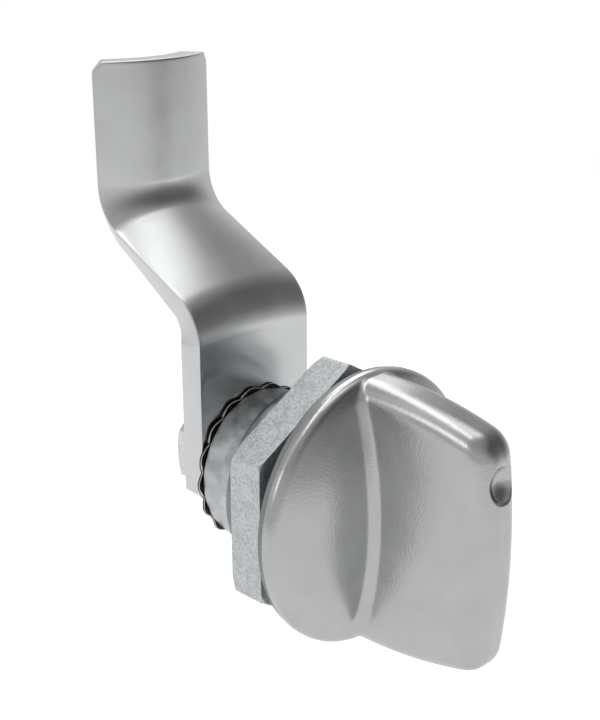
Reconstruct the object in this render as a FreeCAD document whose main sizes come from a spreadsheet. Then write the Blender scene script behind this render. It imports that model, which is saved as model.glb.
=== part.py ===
import FreeCAD, Part
import math
import os
import Sketcher

# Quarter-turn cam latch with a wing knob, for a thin door panel.
# The origin is on the latch's axis, in the plane of the flange's rear face, which lies on the panel.
# +Y runs through the panel to the cam, -Y to the user, and +Z is up, where the cam points at rest.

doc = FreeCAD.newDocument("cam_latch")
sheet = doc.addObject("Spreadsheet::Sheet", "size")

# Driving sizes, in millimetres and degrees, each with a word for its cell
sizes = {
    # housing
    "flange_diameter": 30.6,
    "flange_thickness": 0.7,
    "thread_diameter": 22.0,
    "thread_length": 10.2,
    "thread_bevel": 0.6,
    "neck_diameter": 17.9,
    "housing_length": 15.8,
    "bore_diameter": 12.0,
    # stop between the housing and the knob
    "turn_angle": 90.0,
    "stop_angle": 45.0,
    "stop_radius": 8.0,
    "stop_diameter": 2.0,
    "stop_length": 2.9,
    "stop_clearance": 0.12,
    # panel and nut
    "panel_thickness": 1.5,
    "nut_wall": 2.5,
    "nut_thickness": 4.5,
    "nut_front_cut": 0.39,
    "nut_rear_cut": 0.79,
    "nut_bevel_angle": 30.0,
    "nut_clearance": 0.05,
    # knob
    "knob_diameter": 31.0,
    "knob_gap": 0.2,
    "knob_height": 4.1,
    "rim_radius": 1.1,
    "rim_band": 0.448,
    "wing_length": 30.5,
    "wing_reach": 19.6,
    "wing_front_length": 25.6,
    "wing_thickness": 6.0,
    "wing_front_thickness": 4.7,
    "wing_side_radius": 50.0,
    "wing_front_radius": 80.0,
    "wing_corner_radius": 3.3,
    "wing_edge_radius": 2.2,
    "waist_radius": 1.2,
    "dimple_diameter": 4.2,
    "dimple_height": 8.3,
    "dimple_depth": 1.9,
    # spindle
    "journal_clearance": 0.05,
    "end_play": 0.1,
    "square_width": 8.0,
    "square_corner_step": 0.7,
    "square_clearance": 0.05,
    "square_setback": 0.2,
    "screw_hole_depth": 12.4,
    # shaft seal
    "seal_position": 12.0,
    "seal_section": 1.8,
    "seal_bevel": 0.5,
    "seal_clearance": 0.06,
    "seal_side_clearance": 0.18,
    # toothed washer
    "tooth_washer_thickness": 0.5,
    "tooth_washer_clearance": 0.1,
    "tooth_washer_body": 17.4,
    "tooth_washer_diameter": 18.7,
    "tooth_count": 17.0,
    "tooth_width": 3.1,
    "tooth_tip_width": 2.2,
    "tooth_sheet": 0.3,
    "tooth_twist": 3.5,
    # cam
    "cam_thickness": 3.2,
    "cam_width": 16.9,
    "cam_reach": 45.3,
    "cam_step": 17.1,
    "bend_height": 15.7,
    "bend_angle": 64.0,
    "bend_lead": 2.0,
    "lower_bend_radius": 6.0,
    "upper_bend_radius": 5.8,
    "arch_angle": 39.0,
    "arch_lag": 0.35,
    "tip_corner": 1.1,
    "nose_shoulder": 2.0,
    "nose_reach": 8.0,
    "nose_width": 2.5,
    # spring washer and screw
    "spring_washer_thickness": 1.6,
    "spring_washer_diameter": 11.8,
    "spring_washer_slit": 0.8,
    "spring_washer_slant": 20.0,
    "screw_diameter": 6.0,
    "screw_length": 12.0,
    "screw_flats": 10.0,
    "screw_head_height": 4.0,
    "screw_face_diameter": 9.4,
    "screw_bevel_angle": 30.0,
    "screw_clearance": 0.02,
}


class Size:
    # A length or an angle: its number places a sketch's first geometry, its text drives the model

    def __init__(self, number, text):
        self.number = number
        self.text = text

    def __add__(self, other):
        other = as_size(other)
        return Size(self.number + other.number, f"({self.text} + {other.text})")

    def __sub__(self, other):
        other = as_size(other)
        return Size(self.number - other.number, f"({self.text} - {other.text})")

    def __mul__(self, other):
        other = as_size(other)
        return Size(self.number * other.number, f"({self.text} * {other.text})")

    def __truediv__(self, other):
        other = as_size(other)
        return Size(self.number / other.number, f"({self.text} / {other.text})")

    def __neg__(self):
        return Size(-self.number, f"(-1 * {self.text})")


def as_size(value):
    return value if isinstance(value, Size) else Size(float(value), str(float(value)))


def sin(angle):
    return Size(math.sin(math.radians(angle.number)), f"sin({angle.text} * 1 deg)")


def cos(angle):
    return Size(math.cos(math.radians(angle.number)), f"cos({angle.text} * 1 deg)")


def tan(angle):
    return Size(math.tan(math.radians(angle.number)), f"tan({angle.text} * 1 deg)")


def root(value):
    return Size(math.sqrt(value.number), f"sqrt({value.text})")


def fill_sheet():
    named = {}
    for row, (word, number) in enumerate(sizes.items(), start=1):
        sheet.set(f"A{row}", word)
        sheet.set(f"B{row}", str(number))
        sheet.setAlias(f"B{row}", word)
        named[word] = Size(number, f"size.{word}")
    doc.recompute()
    return named


s = fill_sheet()
zero = as_size(0)

# How far a cut's outline or a joined foot runs past a face, and the play allowed in finding an edge
margin = as_size(1)
foot = as_size(0.4)
hair = 0.01

# Cross-sections along the cam: how many steps each bend and the ramp are cut into
bend_steps = 10
ramp_steps = 8

# Places along the axis that several pieces share
knob_rear = -(s["flange_thickness"] + s["knob_gap"])
journal_end = s["housing_length"] + s["end_play"]
cam_front = journal_end + s["tooth_washer_thickness"]
cam_rear = cam_front + s["cam_thickness"]
head_front = cam_rear + s["spring_washer_thickness"]


def bind(target, **values):
    for word, value in values.items():
        target.setExpression(word, as_size(value).text)


def origin_item(body, role):
    return next(item for item in body.Origin.OriginFeatures if item.Role == role)


def new_body(name):
    body = doc.addObject("PartDesign::Body", name)
    body.Label = name
    body.Placement = FreeCAD.Placement()
    return body


def new_sketch(body, name, role, offset=None):
    # A sketch on one of the body's own origin planes, moved along that plane's normal by offset
    sketch = body.newObject("Sketcher::SketchObject", name)
    sketch.AttachmentSupport = [(origin_item(body, role), "")]
    sketch.MapMode = "FlatFace"
    if offset is not None:
        sketch.setExpression(".AttachmentOffset.Base.z", as_size(offset).text)
    return sketch


def pin_point(sketch, geometry, point, place):
    # Hold one point of the geometry at its place from the sketch's origin
    for kind, value in zip(("DistanceX", "DistanceY"), place):
        row = sketch.addConstraint(Sketcher.Constraint(kind, -1, 1, geometry, point, value.number))
        sketch.setExpression(f"Constraints[{row}]", value.text)


def arc_between(first, last, radius, side):
    # The short arc from first to last, with its centre to the left (side 1) or right (side -1)
    start = FreeCAD.Vector(first[0].number, first[1].number)
    end = FreeCAD.Vector(last[0].number, last[1].number)
    chord = end - start
    height = math.sqrt(max(radius.number ** 2 - (chord.Length / 2) ** 2, 0))
    left = FreeCAD.Vector(-chord.y, chord.x) / chord.Length
    centre = (start + end) / 2 + left * height * side
    angles = [math.atan2(point.y - centre.y, point.x - centre.x) for point in (start, end)]
    if side < 0:
        angles.reverse()
    circle = Part.Circle(centre, FreeCAD.Vector(0, 0, 1), radius.number)
    return Part.ArcOfCircle(circle, angles[0], angles[1])


def outline(sketch, corners, arcs=None):
    # A closed outline through the corners; arcs gives (radius, side) for the runs that are round
    arcs = arcs or {}
    corners = [(as_size(across), as_size(up)) for across, up in corners]
    ends = []
    for index, corner in enumerate(corners):
        following = corners[(index + 1) % len(corners)]
        if index in arcs:
            radius, side = arcs[index]
            row = sketch.addGeometry(arc_between(corner, following, radius, side), False)
            ends.append((row, 1, 2) if side > 0 else (row, 2, 1))
        else:
            line = Part.LineSegment(
                FreeCAD.Vector(corner[0].number, corner[1].number),
                FreeCAD.Vector(following[0].number, following[1].number),
            )
            row = sketch.addGeometry(line, False)
            ends.append((row, 1, 2))
    for index, (row, first, last) in enumerate(ends):
        next_row, next_first, next_last = ends[(index + 1) % len(ends)]
        sketch.addConstraint(Sketcher.Constraint("Coincident", row, last, next_row, next_first))
    for index, (row, first, last) in enumerate(ends):
        pin_point(sketch, row, first, corners[index])
        if index in arcs:
            radius = arcs[index][0]
            held = sketch.addConstraint(Sketcher.Constraint("Radius", row, radius.number))
            sketch.setExpression(f"Constraints[{held}]", radius.text)


def circle(sketch, centre, diameter):
    centre = (as_size(centre[0]), as_size(centre[1]))
    middle = FreeCAD.Vector(centre[0].number, centre[1].number)
    ring = Part.Circle(middle, FreeCAD.Vector(0, 0, 1), diameter.number / 2)
    row = sketch.addGeometry(ring, False)
    pin_point(sketch, row, 3, centre)
    held = sketch.addConstraint(Sketcher.Constraint("Diameter", row, diameter.number))
    sketch.setExpression(f"Constraints[{held}]", diameter.text)


def hexagon(sketch, flats):
    # Corners straight up and down, so that two flats face sideways
    corner = flats / (cos(as_size(30)) * 2)
    corners = [(corner * cos(as_size(a)), corner * sin(as_size(a))) for a in range(30, 390, 60)]
    outline(sketch, corners)


def pad(body, name, sketch, length, both_ways=False, backwards=False):
    feature = body.newObject("PartDesign::Pad", name)
    feature.Profile = sketch
    feature.Midplane = both_ways
    feature.Reversed = backwards
    bind(feature, Length=length)
    doc.recompute()
    return feature


def cut(body, name, sketch, length, both_ways=False, backwards=False):
    before = body.Shape.Volume
    feature = body.newObject("PartDesign::Pocket", name)
    feature.Profile = sketch
    feature.Midplane = both_ways
    feature.Reversed = backwards
    bind(feature, Length=length)
    doc.recompute()
    check_less(feature, before)
    return feature


def turn(body, name, sketch, kind="PartDesign::Revolution", axis=None):
    before = body.Shape.Volume if body.Tip else 0
    feature = body.newObject(kind, name)
    feature.Profile = sketch
    feature.ReferenceAxis = axis or (origin_item(body, "Y_Axis"), [""])
    feature.Angle = 360
    doc.recompute()
    if kind == "PartDesign::Groove":
        check_less(feature, before)
    return feature


def check_less(feature, before):
    if feature.Shape.Volume > before - 1e-4:
        raise RuntimeError(f"{feature.Label} removes nothing")


def edge_names(shape, test):
    return [f"Edge{row}" for row, edge in enumerate(shape.Edges, start=1) if test(edge)]


def dress(body, kind, name, test, **values):
    # A fillet or chamfer on those edges of the body's last feature that pass the test
    base = body.Tip
    feature = body.newObject(kind, name)
    feature.Base = (base, edge_names(base.Shape, test))
    bind(feature, **values)
    doc.recompute()
    return feature


def make_housing():
    # One casting: flange, threaded barrel and plain neck, bored for the spindle
    body = new_body("housing")
    section = new_sketch(body, "housing_section", "XY_Plane")
    flange = s["flange_diameter"] / 2
    thread = s["thread_diameter"] / 2
    neck = s["neck_diameter"] / 2
    bore = s["bore_diameter"] / 2
    front = -s["flange_thickness"]
    outline(section, [
        (bore, front),
        (flange, front),
        (flange, zero),
        (thread, zero),
        (thread, s["thread_length"] - s["thread_bevel"]),
        (thread - s["thread_bevel"], s["thread_length"]),
        (neck, s["thread_length"]),
        (neck, s["housing_length"]),
        (bore, s["housing_length"]),
    ])
    turn(body, "housing_turned", section)

    # Curved slot in the front face, round at both ends, in which the knob's stop pin travels
    half_width = s["stop_diameter"] / 2 + s["stop_clearance"]
    inner = s["stop_radius"] - half_width
    outer = s["stop_radius"] + half_width
    first = s["stop_angle"] - s["turn_angle"]
    last = s["stop_angle"]
    depth = s["stop_length"] - s["knob_gap"] + s["end_play"]
    slot = new_sketch(body, "stop_slot_outline", "XZ_Plane", s["flange_thickness"])
    outline(slot, [
        (inner * cos(first), inner * sin(first)),
        (outer * cos(first), outer * sin(first)),
        (outer * cos(last), outer * sin(last)),
        (inner * cos(last), inner * sin(last)),
    ], {1: (outer, 1), 3: (inner, -1)})
    cut(body, "stop_slot", slot, depth)
    for name, angle in (("near", first), ("far", last)):
        end = new_sketch(body, f"stop_{name}_end_outline", "XZ_Plane", s["flange_thickness"])
        circle(end, (s["stop_radius"] * cos(angle), s["stop_radius"] * sin(angle)), half_width * 2)
        cut(body, f"stop_{name}_end", end, depth)
    return body


def make_nut():
    # Hexagon nut behind the panel, bevelled on both faces, with a plain bore at thread size
    body = new_body("mounting_nut")
    shape = new_sketch(body, "nut_outline", "XZ_Plane", -s["panel_thickness"])
    flats = s["thread_diameter"] + s["nut_wall"] * 2
    corners = flats / cos(as_size(30))
    hexagon(shape, flats)
    circle(shape, (zero, zero), s["thread_diameter"] + s["nut_clearance"] * 2)
    pad(body, "nut_blank", shape, s["nut_thickness"], backwards=True)
    bevel = new_sketch(body, "nut_bevel_section", "XY_Plane")
    front = s["panel_thickness"]
    rear = front + s["nut_thickness"]
    bevel_triangle(bevel, corners - s["nut_front_cut"] * 2, flats, front, s["nut_bevel_angle"], 1)
    bevel_triangle(bevel, corners - s["nut_rear_cut"] * 2, flats, rear, s["nut_bevel_angle"], -1)
    turn(body, "nut_bevel", bevel, "PartDesign::Groove")
    return body


def bevel_triangle(sketch, face_diameter, flats, place, angle, inward):
    # Section of the ring that a bevel takes off a hexagon's corners, from the face inward
    outer = flats / 2 / cos(as_size(30)) + margin
    fall = (outer - face_diameter / 2) * tan(angle) * inward
    outline(sketch, [
        (face_diameter / 2, place),
        (outer, place),
        (outer, place + fall),
    ])


def make_knob():
    # One casting: wing, domed disc, stop pin, and spindle with seal groove, square end and screw hole
    body = new_body("wing_knob")
    apex = knob_rear - s["knob_height"]
    add_wing(body, apex)
    add_disc_and_spindle(body, apex)
    add_waist(body)
    add_square(body)
    pin = new_sketch(body, "stop_pin_outline", "XZ_Plane", -knob_rear)
    place = (s["stop_radius"] * cos(s["stop_angle"]), s["stop_radius"] * sin(s["stop_angle"]))
    circle(pin, place, s["stop_diameter"])
    pad(body, "stop_pin", pin, s["stop_length"], backwards=True)
    return body


def add_wing(body, apex):
    # Side view of the wing: bowed top, bottom and front, and a base that stays inside the dome
    base = knob_rear - s["rim_radius"]
    half = s["wing_length"] / 2
    front_half = s["wing_front_length"] / 2
    bow = s["wing_front_radius"] - root(
        s["wing_front_radius"] * s["wing_front_radius"] - front_half * front_half)
    corner = -s["wing_reach"] + bow
    side = new_sketch(body, "wing_outline", "YZ_Plane")
    outline(side, [
        (base, -half),
        (base, half),
        (corner, front_half),
        (corner, -front_half),
    ], {1: (s["wing_side_radius"], 1), 2: (s["wing_front_radius"], 1), 3: (s["wing_side_radius"], 1)})
    pad(body, "wing_blank", side, s["wing_thickness"], both_ways=True)

    # Both flanks lean in towards the front
    wide = s["wing_thickness"] / 2
    narrow = s["wing_front_thickness"] / 2
    flanks = new_sketch(body, "wing_flank_outline", "XY_Plane")
    for hand in (1, -1):
        corners = [
            (wide * hand, apex),
            (narrow * hand, -s["wing_reach"]),
            (narrow * hand, -s["wing_reach"] - margin),
            ((wide + margin) * hand, -s["wing_reach"] - margin),
            ((wide + margin) * hand, apex),
        ]
        outline(flanks, corners)
    cut(body, "wing_flanks", flanks, s["wing_length"] * 2, both_ways=True)

    def is_front_corner(edge):
        middle = edge.CenterOfMass
        level = edge.BoundBox.YLength < hair and edge.BoundBox.ZLength < hair
        return level and middle.y < apex.number and abs(middle.z) > front_half.number / 2

    dress(body, "PartDesign::Fillet", "wing_corners", is_front_corner, Radius=s["wing_corner_radius"])

    def is_long_edge(edge):
        box = edge.BoundBox
        return box.XMin * box.XMax > 0 and box.YMin < base.number - margin.number / 2

    dress(body, "PartDesign::Fillet", "wing_edges", is_long_edge, Radius=s["wing_edge_radius"])

    # Round dimple in the front edge, above the middle
    radius = s["dimple_diameter"] / 2
    front = -s["wing_reach"] + s["dimple_height"] * s["dimple_height"] / (s["wing_front_radius"] * 2)
    centre = front + s["dimple_depth"] - radius
    ball = new_sketch(body, "dimple_section", "XY_Plane", s["dimple_height"])
    bind(ball, **{".AttachmentOffset.Base.y": centre})
    outline(ball, [
        (-radius, zero),
        (zero, -radius),
        (radius, zero),
    ], {0: (radius, 1), 1: (radius, 1)})
    turn(body, "dimple", ball, "PartDesign::Groove", (ball, ["H_Axis"]))


def add_disc_and_spindle(body, apex):
    # Half section: dome, rounded rim, flat rear face, journal with the seal groove, and the screw hole
    knob = s["knob_diameter"] / 2
    rim = s["rim_radius"]
    # The dome's sphere runs from the apex to the rim's arc, which lies inside it and touches it
    rim_centre = knob_rear - s["rim_band"]
    drop = rim_centre - apex
    dome = ((knob - rim) * (knob - rim) + drop * drop - rim * rim) / (drop - rim) / 2
    centre = apex + dome
    reach = dome / (dome - rim)
    touch = ((knob - rim) * reach, centre - (centre - rim_centre) * reach)
    journal = s["bore_diameter"] / 2 - s["journal_clearance"]
    groove = s["bore_diameter"] / 2 - s["seal_section"] - s["seal_clearance"] * 2
    groove_half = s["seal_section"] / 2 + s["seal_side_clearance"]
    stub = s["bore_diameter"] / 2 - s["square_corner_step"]
    stub_end = cam_rear - s["square_setback"]
    hole = s["screw_diameter"] / 2 + s["screw_clearance"]
    hole_end = head_front - s["screw_hole_depth"]
    section = new_sketch(body, "disc_and_spindle_section", "XY_Plane")
    outline(section, [
        (zero, apex),
        (zero, hole_end),
        (hole, hole_end),
        (hole, stub_end),
        (stub, stub_end),
        (stub, journal_end),
        (journal, journal_end),
        (journal, s["seal_position"] + groove_half),
        (groove, s["seal_position"] + groove_half),
        (groove, s["seal_position"] - groove_half),
        (journal, s["seal_position"] - groove_half),
        (journal, knob_rear),
        (knob, knob_rear),
        (knob, rim_centre),
        touch,
    ], {13: (rim, -1), 14: (dome, -1)})
    turn(body, "disc_and_spindle", section)


def add_waist(body):
    # Hollow fillet where each flank of the wing rises from the dome
    flank = s["wing_thickness"].number / 2

    def is_waist(edge):
        box = edge.BoundBox
        on_flank = abs(abs(edge.CenterOfMass.x) - flank) < hair * 5
        return on_flank and box.YMax < knob_rear.number and box.ZLength > s["knob_diameter"].number / 2

    dress(body, "PartDesign::Fillet", "waist", is_waist, Radius=s["waist_radius"])


def add_square(body):
    # The spindle's end is square to drive the cam
    square = s["square_width"] / 2
    shape = new_sketch(body, "square_end_outline", "XZ_Plane", -journal_end)
    circle(shape, (zero, zero), s["square_width"] * 2)
    outline(shape, [(square, -square), (square, square), (-square, square), (-square, -square)])
    cut(body, "square_end", shape, cam_rear - s["square_setback"] - journal_end)


def make_seal():
    # Rubber ring in the spindle's groove, square in section with bevelled corners
    body = new_body("shaft_seal")
    section = new_sketch(body, "seal_outline", "XY_Plane")
    outer = s["bore_diameter"] / 2 - s["seal_clearance"]
    inner = outer - s["seal_section"]
    front = s["seal_position"] - s["seal_section"] / 2
    rear = front + s["seal_section"]
    bevel = s["seal_bevel"]
    outline(section, [
        (inner + bevel, front),
        (outer - bevel, front),
        (outer, front + bevel),
        (outer, rear - bevel),
        (outer - bevel, rear),
        (inner + bevel, rear),
        (inner, rear - bevel),
        (inner, front + bevel),
    ])
    turn(body, "seal_ring", section)
    return body


def make_tooth_washer():
    # Flat ring with twisted teeth around its edge, clamped between the spindle's shoulder and the cam
    body = new_body("tooth_washer")
    ring = new_sketch(body, "tooth_washer_ring_outline", "XZ_Plane", -journal_end)
    circle(ring, (zero, zero), s["tooth_washer_body"])
    corners = s["bore_diameter"] / 2 - s["square_corner_step"]
    circle(ring, (zero, zero), (corners + s["tooth_washer_clearance"]) * 2)
    pad(body, "tooth_washer_ring", ring, s["tooth_washer_thickness"], backwards=True)

    middle = journal_end + s["tooth_washer_thickness"] / 2
    tooth = new_sketch(body, "tooth_outline", "XZ_Plane", -middle)
    tooth.AttachmentOffset.Rotation = FreeCAD.Rotation(FreeCAD.Vector(1, 0, 0), 1)
    tooth.setExpression(".AttachmentOffset.Rotation.Angle", s["tooth_twist"].text)
    root_place = s["tooth_washer_body"] / 2 - foot
    tip_place = s["tooth_washer_diameter"] / 2
    outline(tooth, [
        (root_place, -s["tooth_width"] / 2),
        (tip_place, -s["tooth_tip_width"] / 2),
        (tip_place, s["tooth_tip_width"] / 2),
        (root_place, s["tooth_width"] / 2),
    ])
    blade = pad(body, "tooth", tooth, s["tooth_sheet"], both_ways=True)
    teeth = body.newObject("PartDesign::PolarPattern", "teeth")
    teeth.Originals = [blade]
    teeth.Axis = (origin_item(body, "Y_Axis"), [""])
    teeth.Angle = 360
    bind(teeth, Occurrences=s["tooth_count"])
    body.Tip = teeth
    doc.recompute()
    return body


def make_cam():
    # Plate bent twice: flat where the spindle holds it, then arched more and more up to its tip
    body = new_body("cam")
    half = s["cam_width"] / 2
    thick = s["cam_thickness"]
    square = s["square_width"] / 2 + s["square_clearance"]
    root_top = s["bend_height"] - s["bend_lead"]
    front = new_sketch(body, "cam_root_outline", "XZ_Plane", -cam_front)
    outline(front, [
        (-half, root_top),
        (-half, -s["nose_shoulder"]),
        (-s["nose_width"] / 2, -s["nose_reach"]),
        (s["nose_width"] / 2, -s["nose_reach"]),
        (half, -s["nose_shoulder"]),
        (half, root_top),
    ])
    outline(front, [(square, -square), (square, square), (-square, square), (-square, -square)])
    pad(body, "cam_root", front, thick, backwards=True)

    stations = cam_stations()
    sections = [arched_section(body, f"cam_section_{row + 1}", *station) for row, station in enumerate(stations)]
    loft = body.newObject("PartDesign::AdditiveLoft", "cam_bends")
    loft.Profile = sections[0]
    loft.Sections = sections[1:]
    loft.Ruled = True
    doc.recompute()

    foot_place = stations[-1][0]
    tip = arched_section(body, "cam_tip_section", *stations[-1])
    pad(body, "cam_tip", tip, s["cam_reach"] - foot_place[1])

    def is_tip_corner(edge):
        at_top = edge.BoundBox.ZMin > s["cam_reach"].number - hair
        return at_top and edge.Curve.TypeId == "Part::GeomLine"

    dress(body, "PartDesign::Chamfer", "cam_tip_corners", is_tip_corner, Size=s["tip_corner"])
    return body


def cam_stations():
    # Places along the cam's front side line, each with its tilt from upright and its arch angle.
    # The line runs through the lower bend, up the straight ramp and through the upper bend,
    # with a short straight lead before and after.
    bend = s["bend_angle"]
    lower = s["lower_bend_radius"]
    upper = s["upper_bend_radius"]
    ramp = (s["cam_step"] - (lower + upper) * (as_size(1) - cos(bend))) / sin(bend)
    radian = as_size(math.pi / 180)
    lower_run = lower * bend * radian
    run = lower_run + ramp + upper * bend * radian
    start = (cam_front + lower, s["bend_height"])
    ramp_foot = (start[0] - lower * cos(bend), start[1] + lower * sin(bend))
    ramp_head = (ramp_foot[0] + ramp * sin(bend), ramp_foot[1] + ramp * cos(bend))
    centre = (ramp_head[0] - upper * cos(bend), ramp_head[1] + upper * sin(bend))
    bend_shares = [step / bend_steps for step in range(bend_steps + 1)]
    ramp_shares = [step / ramp_steps for step in range(1, ramp_steps)]
    lead = s["bend_lead"]
    stations = [((cam_front, start[1] - lead * share), zero, zero) for share in (1, 0.5)]
    for share in bend_shares:
        tilt = bend * share
        place = (start[0] - lower * cos(tilt), start[1] + lower * sin(tilt))
        stations.append((place, tilt, lower_run * share))
    for share in ramp_shares:
        place = (ramp_foot[0] + ramp * sin(bend) * share, ramp_foot[1] + ramp * cos(bend) * share)
        stations.append((place, bend, lower_run + ramp * share))
    for share in bend_shares:
        tilt = bend * (1 - share)
        place = (centre[0] + upper * cos(tilt), centre[1] - upper * sin(tilt))
        stations.append((place, tilt, run - upper * tilt * radian))
    tip_foot = stations[-1][0]
    stations += [((tip_foot[0], tip_foot[1] + lead * share), zero, run) for share in (0.5, 1)]
    return [(place, tilt, arch_at(so_far / run)) for place, tilt, so_far in stations]


def arch_at(share):
    # Half the arch's angle at a share of the bent run, growing from none to its full size
    return s["arch_angle"] * sin(share * 90) * (as_size(1) - s["arch_lag"] * (as_size(1) - share))


def arched_section(body, name, place, tilt, arch):
    # Cross-section of the cam, square to its run: two arcs about one centre, with radial ends
    sketch = body.newObject("Sketcher::SketchObject", name)
    sketch.Placement = FreeCAD.Placement(
        FreeCAD.Vector(0, place[0].number, place[1].number),
        FreeCAD.Rotation(FreeCAD.Vector(-1, 0, 0), tilt.number),
    )
    bind(sketch, **{".Placement.Base.y": place[0], ".Placement.Base.z": place[1]})
    if tilt.number > 0:
        bind(sketch, **{".Placement.Rotation.Angle": tilt})
    half = s["cam_width"] / 2
    thick = s["cam_thickness"]
    inset = thick * sin(arch)
    depth = thick * cos(arch)
    corners = [(-half, zero), (inset - half, depth), (half - inset, depth), (half, zero)]
    arcs = {}
    if arch.number > 0:
        radius = half / sin(arch)
        arcs = {1: (radius - thick, 1), 3: (radius, -1)}
    outline(sketch, corners, arcs)
    return sketch


def make_spring_washer():
    # Split ring under the screw's head, pressed flat, with a slanted slit
    body = new_body("spring_washer")
    ring = new_sketch(body, "spring_washer_outline", "XZ_Plane", -cam_rear)
    circle(ring, (zero, zero), s["spring_washer_diameter"])
    circle(ring, (zero, zero), s["screw_diameter"] + s["screw_clearance"] * 2)
    pad(body, "spring_washer_ring", ring, s["spring_washer_thickness"], backwards=True)
    slit = new_sketch(body, "spring_washer_slit_outline", "XY_Plane")
    half = s["spring_washer_slit"] / 2
    shift = s["spring_washer_thickness"] / 2 * tan(s["spring_washer_slant"])
    outline(slit, [
        (-half - shift, cam_rear),
        (half - shift, cam_rear),
        (half + shift, head_front),
        (-half + shift, head_front),
    ])
    cut(body, "spring_washer_slit", slit, s["spring_washer_diameter"])
    return body


def make_screw():
    # Hexagon-head screw that holds the cam on the spindle
    body = new_body("cam_screw")
    head = new_sketch(body, "screw_head_outline", "XZ_Plane", -head_front)
    hexagon(head, s["screw_flats"])
    pad(body, "screw_head", head, s["screw_head_height"], backwards=True)
    bevel = new_sketch(body, "screw_bevel_section", "XY_Plane")
    rear = head_front + s["screw_head_height"]
    bevel_triangle(bevel, s["screw_face_diameter"], s["screw_flats"], rear, s["screw_bevel_angle"], -1)
    turn(body, "screw_bevel", bevel, "PartDesign::Groove")
    shank = new_sketch(body, "screw_shank_outline", "XZ_Plane", -head_front)
    circle(shank, (zero, zero), s["screw_diameter"])
    pad(body, "screw_shank", shank, s["screw_length"])
    return body


bodies = [
    make_housing(),
    make_nut(),
    make_knob(),
    make_seal(),
    make_tooth_washer(),
    make_cam(),
    make_spring_washer(),
    make_screw(),
]
doc.recompute()

for item in doc.Objects:
    if {"Invalid", "Error"} & set(item.State):
        raise RuntimeError(f"{item.Label} is {item.State}")

os.makedirs("parts", exist_ok=True)
for body in bodies:
    shape = body.Shape
    if shape.isNull() or not shape.isValid() or len(shape.Solids) != 1:
        raise RuntimeError(f"{body.Label} is not one valid solid")
    shape.exportStep(f"parts/{body.Label}.step")
    print(f"{body.Label}: {shape.Volume:.1f} cubic mm, {len(shape.Faces)} faces")
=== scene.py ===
import math

import bmesh
import bpy
import numpy as np
from mathutils import Matrix, Vector


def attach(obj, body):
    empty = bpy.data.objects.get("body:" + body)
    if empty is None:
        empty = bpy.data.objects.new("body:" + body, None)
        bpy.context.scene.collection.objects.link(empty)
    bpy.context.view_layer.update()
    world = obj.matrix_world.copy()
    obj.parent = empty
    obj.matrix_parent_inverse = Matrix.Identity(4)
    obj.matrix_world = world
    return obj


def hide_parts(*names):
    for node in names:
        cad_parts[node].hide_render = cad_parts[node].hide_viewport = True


# A quarter-turn cam latch: satin cast knob, spangled zinc nut, bent and arched steel cam.
# Metres throughout. The dictionaries hold millimetres and degrees, and mm turns millimetres into metres.
mm = 0.001

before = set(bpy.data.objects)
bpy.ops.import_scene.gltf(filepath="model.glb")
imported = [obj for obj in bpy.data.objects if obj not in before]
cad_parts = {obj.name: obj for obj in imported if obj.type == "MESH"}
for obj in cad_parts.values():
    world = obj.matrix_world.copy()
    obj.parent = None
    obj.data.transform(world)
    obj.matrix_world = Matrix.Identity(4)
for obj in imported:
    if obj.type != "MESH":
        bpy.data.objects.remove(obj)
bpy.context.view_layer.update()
print("frame loaded:", sorted(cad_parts))

mergeWithin, shortestEdge = 0.0015, 0.0005      # mm


def makePiece(name, sheets, sharpAngle=40):
    # Each sheet is a grid of points (rows, columns, 3) in mm. Neighbours in the grid become quads,
    # points that meet are merged, and the closed mesh is turned to face outwards.
    points, quads, count = [], [], 0
    for sheet in sheets:
        rows, columns = sheet.shape[:2]
        index = count + np.arange(rows * columns).reshape(rows, columns)
        corners = [index[:-1, :-1], index[:-1, 1:], index[1:, 1:], index[1:, :-1]]
        quads.append(np.stack(corners, -1).reshape(-1, 4))
        points.append(sheet.reshape(-1, 3))
        count += rows * columns
    points = np.concatenate(points) * mm
    quads = np.concatenate(quads)
    mesh = bpy.data.meshes.new(name)
    mesh.vertices.add(len(points))
    mesh.vertices.foreach_set("co", points.astype(np.float32).ravel())
    mesh.loops.add(quads.size)
    mesh.loops.foreach_set("vertex_index", quads.astype(np.int32).ravel())
    mesh.polygons.add(len(quads))
    mesh.polygons.foreach_set("loop_start", np.arange(0, quads.size, 4, dtype=np.int32))
    mesh.update(calc_edges=True)
    work = bmesh.new()
    work.from_mesh(mesh)
    bmesh.ops.remove_doubles(work, verts=work.verts, dist=mergeWithin * mm)
    bmesh.ops.dissolve_degenerate(work, edges=work.edges, dist=shortestEdge * mm)
    bmesh.ops.recalc_face_normals(work, faces=work.faces)
    openEdges = sum(1 for edge in work.edges if len(edge.link_faces) != 2)
    work.to_mesh(mesh)
    work.free()
    mesh.polygons.foreach_set("use_smooth", np.ones(len(mesh.polygons), bool))
    mesh.set_sharp_from_angle(angle=math.radians(sharpAngle))
    piece = bpy.data.objects.new(name, mesh)
    bpy.context.scene.collection.objects.link(piece)
    print(f"{name}: {len(mesh.polygons)} faces, {openEdges} open edges")
    return piece


def finishPiece(piece, body, material, replaced):
    piece.data.materials.append(material)
    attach(piece, body)
    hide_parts(replaced)


# The camera stands at the photograph's viewing angle
camera = {
    "place": (-96.783, -88.844, 62.282),
    "turn": 44.635,             # to the right of +Y
    "dip": 19.243,              # below level
    "roll": -0.198,
    "lens": 65.92, "sensor": 36,
    "near": 5, "far": 20000,
}


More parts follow.
